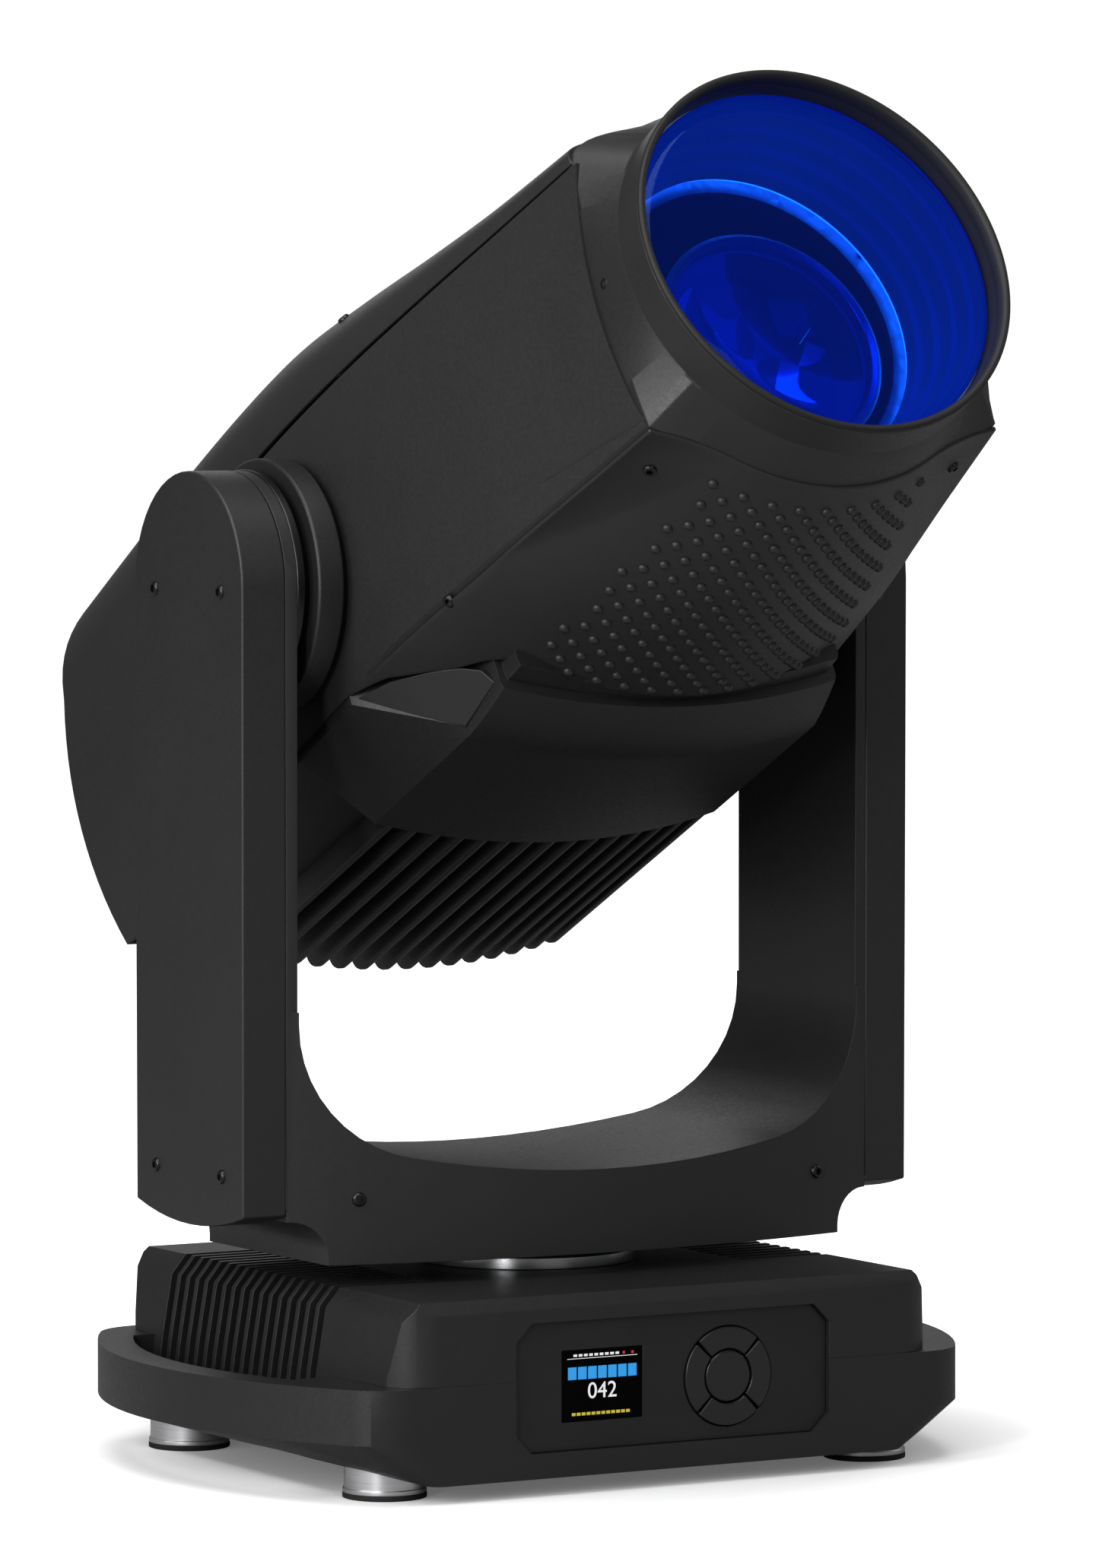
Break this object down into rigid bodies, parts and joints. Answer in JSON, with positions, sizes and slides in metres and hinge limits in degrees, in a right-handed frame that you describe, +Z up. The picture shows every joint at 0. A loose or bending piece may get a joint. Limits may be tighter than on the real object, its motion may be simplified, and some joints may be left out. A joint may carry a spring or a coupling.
{
  "type": "moving head light",
  "caption": "Stage profile light: a finned base with side handles, a panning yoke and a tilting head with a hooded front lens.",
  "frame": {"origin": "the pan axis on the surface the feet stand on", "axes": "+Z up along the pan axis, -Y to the front where the control panel is, +X to the right seen from the front; the tilt axis is parallel to X"},
  "size_m": [0.474, 0.667, 0.7683],
  "materials": {
    "casting": "satin, fine powder coat",
    "heatsink": "satin",
    "panel": "matt",
    "button": "satin silicone",
    "screen": "gloss",
    "foot_metal": "turned, satin",
    "rubber": "matt",
    "belt": "matt",
    "bright_steel": "bright",
    "screw": "black oxide",
    "sheet_metal": "zinc plated",
    "machined": "machined",
    "motor": "satin black",
    "circuit": "green solder mask",
    "power_box": "folded sheet",
    "plug": "matt black",
    "socket_metal": "satin nickel",
    "lens_glass": "coated optical glass",
    "filter_glass": "dichroic glass"
  },
  "bodies": {
    "base": {"base_tray": "casting", "base_cover": "casting", "base_floor": "sheet_metal", "feet": "foot_metal", "foot_pads": "rubber", "control_panel": "panel", "display_window": "screen", "control_board": "circuit", "rear_panel": "panel", "power_gland": "plug", "data_sockets": "socket_metal", "data_caps": "rubber", "power_supply": "power_box", "pan_bearing": "bright_steel", "pan_motor": "motor", "pan_belt": "belt", "base_screws": "screw", "safety_eye": "bright_steel"},
    "yoke": {"yoke_frame": "casting", "yoke_floor": "sheet_metal", "arm_cover_left": "casting", "arm_cover_right": "casting", "yoke_screws": "screw", "pan_hub": "machined", "tilt_bearings": "bright_steel", "tilt_motor": "motor", "tilt_belt": "belt"},
    "head": {"head_chassis": "sheet_metal", "side_cover_left": "casting", "side_cover_right": "casting", "top_cover": "casting", "belly_cover": "casting", "front_bezel": "casting", "front_lens": "lens_glass", "lens_ring": "plug", "rear_heatsink": "heatsink", "rear_cover": "casting", "tilt_hubs": "heatsink", "tilt_pulley": "machined", "light_engine": "power_box", "effects_motors": "motor", "guide_rods": "bright_steel", "fan_frame": "plug", "head_screws": "screw"},
    "pan_drive": {"pan_motor_pulley": "machined"},
    "tilt_drive": {"tilt_motor_pulley": "machined"},
    "key_up": {"button_up": "button"},
    "key_down": {"button_down": "button"},
    "key_left": {"button_left": "button"},
    "key_right": {"button_right": "button"},
    "key_enter": {"button_enter": "button"},
    "pan_latch": {"pan_lock": "plug"},
    "tilt_latch": {"tilt_lock": "plug"},
    "colors": {"color_wheel": "filter_glass"},
    "gobos": {"gobo_wheel": "machined"},
    "fan": {"fan_impeller": "plug"},
    "zoom": {"zoom_carriage": "plug", "zoom_lens": "lens_glass"},
    "focus": {"focus_carriage": "plug"}
  },
  "joints": [
    {"name": "pan", "type": "hinge", "parent": "base", "child": "yoke", "pos_m": [0, 0, 0.1], "axis": [0, 0, 1], "range_deg": [-270, 270]},
    {"name": "tilt", "type": "hinge", "parent": "yoke", "child": "head", "pos_m": [0, 0, 0.49], "axis": [1, 0, 0], "range_deg": [-195, 75]},
    {"name": "pan_motor_turn", "type": "hinge", "parent": "base", "child": "pan_drive", "pos_m": [0, 0.108, 0.08], "axis": [0, 0, 1], "range_deg": [-1350, 1350]},
    {"name": "tilt_motor_turn", "type": "hinge", "parent": "yoke", "child": "tilt_drive", "pos_m": [0.19, 0, 0.157], "axis": [1, 0, 0], "range_deg": [-975, 375]},
    {"name": "press_up", "type": "slide", "parent": "base", "child": "key_up", "axis": [0, 1, 0], "range_m": [0, 0.001], "stiffness_N_per_m": 900},
    {"name": "press_down", "type": "slide", "parent": "base", "child": "key_down", "axis": [0, 1, 0], "range_m": [0, 0.001], "stiffness_N_per_m": 900},
    {"name": "press_left", "type": "slide", "parent": "base", "child": "key_left", "axis": [0, 1, 0], "range_m": [0, 0.001], "stiffness_N_per_m": 900},
    {"name": "press_right", "type": "slide", "parent": "base", "child": "key_right", "axis": [0, 1, 0], "range_m": [0, 0.001], "stiffness_N_per_m": 900},
    {"name": "press_enter", "type": "slide", "parent": "base", "child": "key_enter", "axis": [0, 1, 0], "range_m": [0, 0.001], "stiffness_N_per_m": 900},
    {"name": "pan_lock_slide", "type": "slide", "parent": "yoke", "child": "pan_latch", "axis": [-1, 0, 0], "range_m": [0, 0.008]},
    {"name": "tilt_lock_slide", "type": "slide", "parent": "yoke", "child": "tilt_latch", "axis": [0, 0, 1], "range_m": [0, 0.009]},
    {"name": "color_spin", "type": "hinge", "parent": "head", "child": "colors", "pos_m": [0, 0.07869, 0.5023], "axis": [0, -0.866, 0.5], "continuous": true},
    {"name": "gobo_spin", "type": "hinge", "parent": "head", "child": "gobos", "pos_m": [0, 0.00445, 0.4297], "axis": [0, -0.866, 0.5], "continuous": true},
    {"name": "fan_spin", "type": "hinge", "parent": "head", "child": "fan", "pos_m": [0, 0.22084, 0.3625], "axis": [0, -0.866, 0.5], "continuous": true},
    {"name": "zoom_travel", "type": "slide", "parent": "head", "child": "zoom", "axis": [0, -0.866, 0.5], "range_m": [-0.04, 0.04]},
    {"name": "focus_travel", "type": "slide", "parent": "head", "child": "focus", "axis": [0, -0.866, 0.5], "range_m": [-0.015, 0.045]}
  ],
  "couplings": [
    {"joint": "pan_motor_turn", "follows": "pan", "ratio": 5},
    {"joint": "tilt_motor_turn", "follows": "tilt", "ratio": 5}
  ]
}
